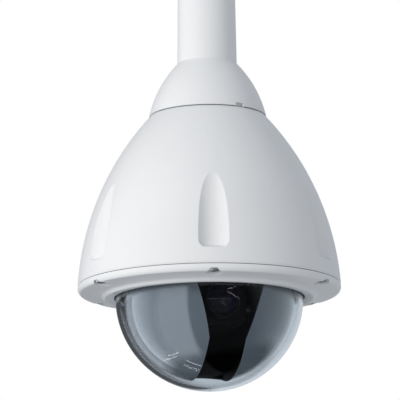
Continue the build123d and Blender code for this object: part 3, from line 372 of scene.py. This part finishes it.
def mesh_object(name, vertices, faces, material, sharp=35):
    mesh = bpy.data.meshes.new(name)
    mesh.from_pydata([tuple(v) for v in vertices], [], faces)
    mesh.update()
    work = bmesh.new()
    work.from_mesh(mesh)
    bmesh.ops.recalc_face_normals(work, faces=work.faces)
    work.to_mesh(mesh)
    work.free()
    smooth(mesh, sharp)
    mesh.materials.append(material)
    made = bpy.data.objects.new(name, mesh)
    bpy.context.scene.collection.objects.link(made)
    return made


def closed_grid(columns):
    """Faces of a grid that closes on itself both ways; columns is a list of equal rings."""
    count = len(columns)
    length = len(columns[0])
    vertices = [point for column in columns for point in column]
    faces = []
    for i in range(count):
        after = (i + 1) % count
        for j in range(length):
            k = (j + 1) % length
            faces.append((i * length + j, after * length + j, after * length + k, i * length + k))
    return vertices, faces


def lathe(name, profile, material, segments=180, sharp=35):
    """Closed (radius, height above the seam) outline turned about the pan axis."""
    columns = []
    for i in range(segments):
        angle = 2 * math.pi * i / segments
        c, s = math.cos(angle), math.sin(angle)
        columns.append([(r * c, r * s, SEAM + h) for r, h in profile])
    vertices, faces = closed_grid(columns)
    return mesh_object(name, vertices, faces, material, sharp)


def arc(centre, radius, start, end, steps):
    """Points of a circular arc in the half-section, angles in degrees."""
    points = []
    for i in range(steps + 1):
        angle = math.radians(start + (end - start) * i / steps)
        points.append((centre[0] + radius * math.cos(angle), centre[1] + radius * math.sin(angle)))
    return points


def bend(first, through, last, steps=6):
    """Points of the arc through three points of the half-section, in order."""
    a, b, c = (complex(*point) for point in (first, through, last))
    ratio = (c - a) / (b - a)
    centre = (b - a) * (ratio - abs(ratio) ** 2) / (2j * ratio.imag) + a
    sweep = cmath.phase((c - centre) / (a - centre))
    points = [centre + (a - centre) * cmath.exp(1j * sweep * i / steps) for i in range(steps + 1)]
    return [(point.real, point.imag) for point in points]


# ------------------------------------------------------------------ bell with its flutes


def flute_floor(height):
    """Radius of the flute's deepest line: straight, from its foot up to where it meets the wall."""
    low = bell_radius(FLUTE_FOOT) - FLUTE_DEPTH
    share = (height - FLUTE_FOOT) / (FLUTE_TIP - FLUTE_FOOT)
    return low + (bell_radius(FLUTE_TIP) - low) * share


def scoop_depth(across, height):
    """Depth below the wall of the round scoop, negative outside it."""
    if abs(across) >= FLUTE_ROUND:
        return -1.0
    wall = math.sqrt(bell_radius(height) ** 2 - across**2)
    return wall - flute_floor(height) - FLUTE_ROUND + math.sqrt(FLUTE_ROUND**2 - across**2)


def scoop_half_width(height):
    low, high = 0.0, FLUTE_ROUND * 0.999
    for _ in range(30):
        middle = (low + high) / 2
        if scoop_depth(middle, height) > 0:
            low = middle
        else:
            high = middle
    return low


def flute_half_width(height):
    """Half width of a flute: the scoop's own edge, cut in at the foot's rounded corners."""
    if height <= FLUTE_FOOT or height >= FLUTE_TIP:
        return 0.0
    half = scoop_half_width(height)
    if height < FLUTE_FOOT + FLUTE_CORNER:
        rise = (FLUTE_FOOT + FLUTE_CORNER - height) / FLUTE_CORNER
        half = min(half, FLUTE_FOOT_HALF - FLUTE_CORNER * (1 - math.sqrt(max(1 - rise**2, 0))))
    return half


def flute_cut(across, height):
    """Depth of the finished flute; its foot and corner walls lean a little."""
    half = flute_half_width(height)
    if half < 0.2 * MM or abs(across) >= half:
        return 0.0
    foot_rise = (height - FLUTE_FOOT) * FLUTE_FOOT_SLOPE
    side_rise = (half - abs(across)) * FLUTE_SIDE_SLOPE
    return max(min(scoop_depth(across, height), foot_rise, side_rise), 0.0)


def bell_columns():
    """Directions round the bell: many across each flute, fewer between flutes."""
    beyond = [1.02, 1.06, 1.12, FLUTE_MARGIN]
    shares = sorted([-share for share in beyond] + [i / 14 for i in range(-14, 15)] + beyond)
    between = 16
    columns = []
    for angle in FLUTE_ANGLES:
        columns += [(angle, share, 0.0) for share in shares]
        columns += [(angle, FLUTE_MARGIN, (i + 1) / (between + 1)) for i in range(between)]
    return columns


def bell_heights():
    """Heights of the mesh rows, closest where the flutes start and where they run out."""
    lower = [1.0, 3.0, 5.5, 8.0, 10.0, 11.6]
    fluted = [12.5 + 0.5 * i for i in range(13)] + [19.5 + 1.25 * i for i in range(20)]
    arched = [44.5 + 1.0 * i for i in range(23)] + [67.2 + 0.6 * i for i in range(16)] + [76.5, 77.5]
    upper = [79.5 + 3.5 * i for i in range(18)]
    rows = lower + fluted + arched + upper
    return [height * MM for height in rows if height * MM < BELL_TOP - TOP_BREAK]


def make_bell():
    heights = bell_heights()
    rings = []
    for angle, share, gap in bell_columns():
        ring = []

        def wall_point(height, inset):
            radius = bell_radius(height, inset)
            grid_half = max(flute_half_width(height), FLUTE_LEAST_HALF)
            across = share * grid_half
            edge = FLUTE_MARGIN * grid_half / radius
            turn = angle + across / radius + gap * (math.radians(60) - 2 * edge)
            cut = 0.0 if gap else flute_cut(across, height)
            return (radius - cut, turn, height)

        def put(radius, turn, height):
            ring.append((radius * math.cos(turn), radius * math.sin(turn), SEAM + height))

        put(*wall_point(0.0, FOOT_BREAK))
        for height in heights:
            put(*wall_point(height, 0.0))
        put(*wall_point(BELL_TOP - TOP_BREAK_DROP, 0.0))
        top_edge = wall_point(BELL_TOP, TOP_BREAK)
        put(*top_edge)
        put(DECK_BORE, top_edge[1], BELL_TOP)
        put(DECK_BORE, top_edge[1], BELL_TOP - BELL_DECK)
        for height in reversed(heights[::2]):
            if height < BELL_TOP - BELL_DECK:
                put(*wall_point(height, BELL_WALL))
        put(*wall_point(0.0, BELL_WALL))
        rings.append(ring)
    vertices, faces = closed_grid(rings)
    bell = mesh_object("bell_shell", vertices, faces, HOUSING, 50)
    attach(bell, "housing")
    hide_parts("bell_housing")


# ------------------------------------------------------------------ trim ring and screws


def spare_object(name, work):
    """Object made from a bmesh, to be joined or used as a cutter and then discarded."""
    mesh = bpy.data.meshes.new(name)
    work.to_mesh(mesh)
    work.free()
    made = bpy.data.objects.new(name, mesh)
    bpy.context.scene.collection.objects.link(made)
    return made


def discard(spares):
    for spare in spares:
        mesh = spare.data
        bpy.data.objects.remove(spare)
        bpy.data.meshes.remove(mesh)


def cut_with(made, name, cutters):
    for cutter in cutters:
        cut = made.modifiers.new(name, "BOOLEAN")
        cut.operation = "DIFFERENCE"
        cut.solver = "EXACT"
        cut.object = cutter


def apply_modifiers(made):
    graph = bpy.context.evaluated_depsgraph_get()
    mesh = bpy.data.meshes.new_from_object(made.evaluated_get(graph))
    old = made.data
    made.modifiers.clear()
    made.data = mesh
    bpy.data.meshes.remove(old)


def screw_place(angle, height):
    return Matrix.Translation((SCREW_CIRCLE * math.cos(angle), SCREW_CIRCLE * math.sin(angle), SEAM + height))


def trim_profile():
    """Outline of the trim ring: rolled outer edge, sloped face, raised bead, flat bezel."""
    points = [(86.4, -0.5)]
    points += bend((107.5, -0.5), (107.9, -3.2), (106.2, -6.1))
    points += bend((106.2, -6.1), (105.6, -6.4), (104.6, -6.5))[1:]
    points += bend((89.6, -8.1), (88.2, -8.7), (87.2, -9.8))
    points += bend((87.2, -9.8), (86.0, -11.0), (84.4, -11.1))[1:]
    points += [(78.2, -10.4), (78.2, -7.4), (86.4, -7.4)]
    return [(r * MM, h * MM) for r, h in points]


def make_bore(angle, radius, low, high):
    work = bmesh.new()
    bmesh.ops.create_cone(
        work,
        cap_ends=True,
        segments=48,
        radius1=radius,
        radius2=radius,
        depth=high - low,
        matrix=screw_place(angle, (low + high) / 2),
    )
    return spare_object("bore", work)


def make_trim_ring():
    ring = lathe("trim_ring_body", trim_profile(), HOUSING, 300, 40)
    bores = []
    for angle in FLUTE_ANGLES:
        bores.append(make_bore(angle, SCREW_POCKET, -12 * MM, SCREW_SEAT))
        bores.append(make_bore(angle, SCREW_HOLE, -12 * MM, 2 * MM))
    cut_with(ring, "bore", bores)
    edge = ring.modifiers.new("edge", "BEVEL")
    edge.width = 0.35 * MM
    edge.segments = 2
    edge.limit_method = "ANGLE"
    edge.angle_limit = math.radians(50)
    apply_modifiers(ring)
    discard(bores)
    smooth(ring.data, 38)
    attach(ring, "housing")
    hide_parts("trim_ring")


def make_screw():
    """Domed screw, head down, its seat at height 0; the cross recess is cut afterwards."""
    segments = 48
    profile = [(1.6, -2.34), (2.9, -2.2), (3.9, -1.9), (4.6, -1.4), (4.95, -0.8), (5.0, -0.25)]
    profile += [(4.85, 0.0), (2.5, 0.0), (2.5, 15.5), (2.0, 16.0)]
    work = bmesh.new()
    rings = []
    for radius, height in profile:
        ring = []
        for i in range(segments):
            angle = 2 * math.pi * i / segments
            point = (radius * math.cos(angle) * MM, radius * math.sin(angle) * MM, height * MM)
            ring.append(work.verts.new(point))
        rings.append(ring)
    for lower, upper in zip(rings, rings[1:]):
        for i in range(segments):
            k = (i + 1) % segments
            work.faces.new((lower[i], lower[k], upper[k], upper[i]))
    work.faces.new(list(reversed(rings[0])))
    work.faces.new(rings[-1])
    bmesh.ops.recalc_face_normals(work, faces=work.faces)
    return spare_object("head", work)


def make_recess_bar(turn):
    work = bmesh.new()
    bmesh.ops.create_cube(work, size=1.0)
    bmesh.ops.scale(work, vec=(6.4 * MM, 1.15 * MM, 3.2 * MM), verts=work.verts)
    bmesh.ops.translate(work, vec=(0, 0, -2.6 * MM), verts=work.verts)
    turned = Matrix.Rotation(math.radians(turn), 3, "Z")
    bmesh.ops.rotate(work, cent=(0, 0, 0), matrix=turned, verts=work.verts)
    return spare_object("slot", work)


def make_ring_screws():
    """Six screws, each with its recess turned a little differently."""
    turns = [25, 70, 110, 155, 48, 92]
    joined = bmesh.new()
    for angle, turn in zip(FLUTE_ANGLES, turns):
        screw = make_screw()
        bars = [make_recess_bar(turn), make_recess_bar(turn + 90)]
        cut_with(screw, "slot", bars)
        apply_modifiers(screw)
        screw.data.transform(screw_place(angle, SCREW_SEAT))
        joined.from_mesh(screw.data)
        discard([screw] + bars)
    screws = spare_object("ring_screw_set", joined)
    smooth(screws.data, 32)
    screws.data.materials.append(STAINLESS)
    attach(screws, "housing")
    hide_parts("trim_ring_screws")


# ------------------------------------------------------------------ bubble


def make_bubble():
    """Hemisphere with a short straight rim and its clamped flange."""
    inner = BUBBLE_OUTER - BUBBLE_WALL
    centre = (0.0, BUBBLE_CENTRE)
    outside = arc(centre, BUBBLE_OUTER, -89.6, 0, 72)
    inside = arc(centre, inner, 0, -89.6, 72)
    corners = [(77.0, -6.9), (77.4, -6.4), (86.0, -6.4), (86.0, -3.4), (74.4, -3.4)]
    flange = [(r * MM, h * MM) for r, h in corners]
    profile = outside + flange + [(inner, -3.9 * MM)] + inside
    bubble = lathe("bubble_shell", profile, BUBBLE, 192, 40)
    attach(bubble, "housing")
    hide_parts("clear_dome")


# ------------------------------------------------------------------ studio


# Soft light: a level, what it gains towards the key light and what it gains upwards
SOFT_LEVEL = 0.53
SOFT_TOWARDS_KEY = 0.08
SOFT_UPWARDS = -0.05
KEY_ANGLE = math.radians(-45)
KEY_DISTANCE = 2.78
KEY_RISE = 0.36
KEY_SIZE = 1.1
KEY_POWER = 36.0
FLOOR_DROP = 4.2
FLOOR_RADIUS = 3.5
# What polished surfaces mirror: degrees round (0 towards the camera, -90 to its left) and level
PANELS = [
    (-180, 0.75),
    (-176, 0.50),
    (-173, 0.08),
    (-129, 0.08),
    (-126, 1.30),
    (-110, 1.05),
    (-78, 0.42),
    (-76.5, 0.74),
    (-33, 0.82),
    (-31, 0.04),
    (48, 0.04),
    (75, 0.26),
    (120, 0.50),
    (179, 0.75),
]
PANEL_TINT = (0.90, 0.98, 1.07)
# The panels run to a point below and behind the object, and fade near it
PANEL_LEAN = math.radians(30)
PANEL_SHIFT = math.radians(10)
PANEL_FADE = (0.72, 0.84)
PANEL_LEAST = 0.08
# The small lamps seen in the bubble: turn and rise of both ends in degrees, and strength
LAMPS = [
    ((22, 1), (33, 5), 2.0),
    ((21, -1), (37, -9), 2.0),
    ((-129, -44), (-107, -59), 3.0),
    ((-130, -62), (-160, -66), 6.0),
]
LAMP_HALF_WIDTH = 0.008


def level_direction(angle):
    return FRONT * math.cos(angle) + RIGHT * math.sin(angle)


def lamp_direction(turn, rise):
    turn, rise = math.radians(turn), math.radians(rise)
    return level_direction(turn) * math.cos(rise) + Vector((0, 0, math.sin(rise)))


class Sky:
    """The world's nodes, with short ways to add to them."""

    def __init__(self):
        world = bpy.data.worlds.new("studio")
        bpy.context.scene.world = world
        world.use_nodes = True
        self.tree = world.node_tree
        self.tree.nodes.clear()
        self.coords = self.node("ShaderNodeTexCoord")

    def node(self, kind):
        return self.tree.nodes.new(kind)

    def link(self, source, target):
        self.tree.links.new(source, target)

    def math(self, operation, first, second=None):
        node = self.node("ShaderNodeMath")
        node.operation = operation
        for socket, value in zip(node.inputs, (first, second)):
            if value is None:
                continue
            if isinstance(value, (int, float)):
                socket.default_value = value
            else:
                self.link(value, socket)
        return node.outputs["Value"]

    def along(self, direction):
        dot = self.node("ShaderNodeVectorMath")
        dot.operation = "DOT_PRODUCT"
        dot.inputs[1].default_value = direction
        self.link(self.coords.outputs["Generated"], dot.inputs[0])
        return dot.outputs["Value"]

    def background(self):
        node = self.node("ShaderNodeBackground")
        node.inputs["Strength"].default_value = 1.0
        return node

    def soft_light(self):
        """A level plus slopes towards the key side and upwards; cooler away from the key."""
        towards_key = self.along(level_direction(KEY_ANGLE))
        slope = self.math("MULTIPLY", towards_key, SOFT_TOWARDS_KEY)
        lift = self.math("MULTIPLY", self.along(Vector((0, 0, 1))), SOFT_UPWARDS)
        level = self.math("MAXIMUM", self.math("ADD", self.math("ADD", slope, lift), SOFT_LEVEL), 0.04)
        warmth = self.node("ShaderNodeValToRGB")
        fill_ramp(warmth, [(0.2, (0.90, 0.96, 1.04)), (0.85, (1.0, 1.0, 1.0))])
        self.link(self.math("ADD", self.math("MULTIPLY", towards_key, 0.5), 0.5), warmth.inputs["Fac"])
        soft = self.background()
        self.link(warmth.outputs["Color"], soft.inputs["Color"])
        self.link(level, soft.inputs["Strength"])
        return soft.outputs[0]

    def panels(self):
        """Upright panels round the studio that meet in a point below and behind the object."""
        below = Vector((0, 0, -math.cos(PANEL_LEAN)))
        meeting = below - FRONT * math.sin(PANEL_LEAN) + RIGHT * math.sin(PANEL_SHIFT)
        meeting.normalize()
        panel_front = (FRONT - meeting * FRONT.dot(meeting)).normalized()
        panel_right = panel_front.cross(meeting)
        around = self.math("ARCTAN2", self.along(panel_right), self.along(panel_front))
        ramp = self.node("ShaderNodeValToRGB")
        stops = [(turn / 360 + 0.5, tuple(level * part for part in PANEL_TINT)) for turn, level in PANELS]
        fill_ramp(ramp, stops)
        self.link(self.math("ADD", self.math("DIVIDE", around, 2 * math.pi), 0.5), ramp.inputs["Fac"])
        fading = self.node("ShaderNodeMapRange")
        fading.inputs["From Min"].default_value, fading.inputs["From Max"].default_value = PANEL_FADE
        fading.inputs["To Min"].default_value = 1.0
        fading.inputs["To Max"].default_value = PANEL_LEAST
        self.link(self.along(meeting), fading.inputs["Value"])
        panels = self.background()
        self.link(ramp.outputs["Color"], panels.inputs["Color"])
        self.link(fading.outputs["Result"], panels.inputs["Strength"])
        return panels.outputs[0]

    def lamps(self):
        """Short bright lines, each from one direction to another."""
        glow = None
        for *ends, strength in LAMPS:
            start, end = (lamp_direction(*angles) for angles in ends)
            centre = (start + end).normalized()
            length = (end - start).normalized()
            width = centre.cross(length)
            reach = (end - start).length / 2
            near = self.math("GREATER_THAN", self.along(centre), 0.9)
            short = self.math("LESS_THAN", self.math("ABSOLUTE", self.along(length)), reach)
            thin = self.math("LESS_THAN", self.math("ABSOLUTE", self.along(width)), LAMP_HALF_WIDTH)
            inside = self.math("MULTIPLY", near, short)
            lamp = self.math("MULTIPLY", inside, self.math("MULTIPLY", thin, strength))
            glow = lamp if glow is None else self.math("ADD", glow, lamp)
        lamps = self.background()
        self.link(glow, lamps.inputs["Strength"])
        return lamps.outputs[0]

    def joined(self, kind, first, second, share=None):
        """Two shaders added or mixed."""
        node = self.node(kind)
        shaders = [socket for socket in node.inputs if socket.type == "SHADER"]
        self.link(first, shaders[0])
        self.link(second, shaders[1])
        if share is not None:
            self.link(share, node.inputs["Fac"])
        return node.outputs[0]


def make_world():
    """Pale studio: soft light for diffuse rays, panels and lamps for mirrored ones, white behind."""
    sky = Sky()
    path = sky.node("ShaderNodeLightPath")
    mirrored = sky.joined("ShaderNodeAddShader", sky.panels(), sky.lamps())
    lit = sky.joined("ShaderNodeMixShader", mirrored, sky.soft_light(), path.outputs["Is Diffuse Ray"])
    backdrop = sky.background()
    backdrop.inputs["Color"].default_value = (1, 1, 1, 1)
    seen = sky.joined("ShaderNodeMixShader", lit, backdrop.outputs[0], path.outputs["Is Camera Ray"])
    sky.link(seen, sky.node("ShaderNodeOutputWorld").inputs["Surface"])


def make_floor():
    work = bmesh.new()
    bmesh.ops.create_circle(work, cap_ends=True, segments=96, radius=FLOOR_RADIUS)
    floor = spare_object("floor", work)
    floor.location = (0, 0, SEAM - FLOOR_DROP)
    floor.data.materials.append(moulded("floor_paint", (0.84, 0.84, 0.83), 0.7, 60, 0.0002))
    floor.visible_glossy = False
    floor.visible_transmission = False


def make_key_light():
    """Large soft light on the left; only the world's panels show in polished surfaces."""
    data = bpy.data.lights.new("key", "AREA")
    data.shape = "DISK"
    data.size = KEY_SIZE
    data.energy = KEY_POWER
    light = bpy.data.objects.new("key", data)
    aim = Vector((0, 0, SEAM + 0.06))
    light.location = aim + level_direction(KEY_ANGLE) * KEY_DISTANCE + Vector((0, 0, KEY_RISE))
    light.rotation_euler = (aim - light.location).to_track_quat("-Z", "Y").to_euler()
    light.visible_glossy = False
    light.visible_transmission = False
    bpy.context.scene.collection.objects.link(light)


bpy.context.scene.view_settings.view_transform = "Standard"
make_camera()
make_world()
make_key_light()
make_floor()
dress_cad_nodes()
make_bell()
make_trim_ring()
make_ring_screws()
make_bubble()
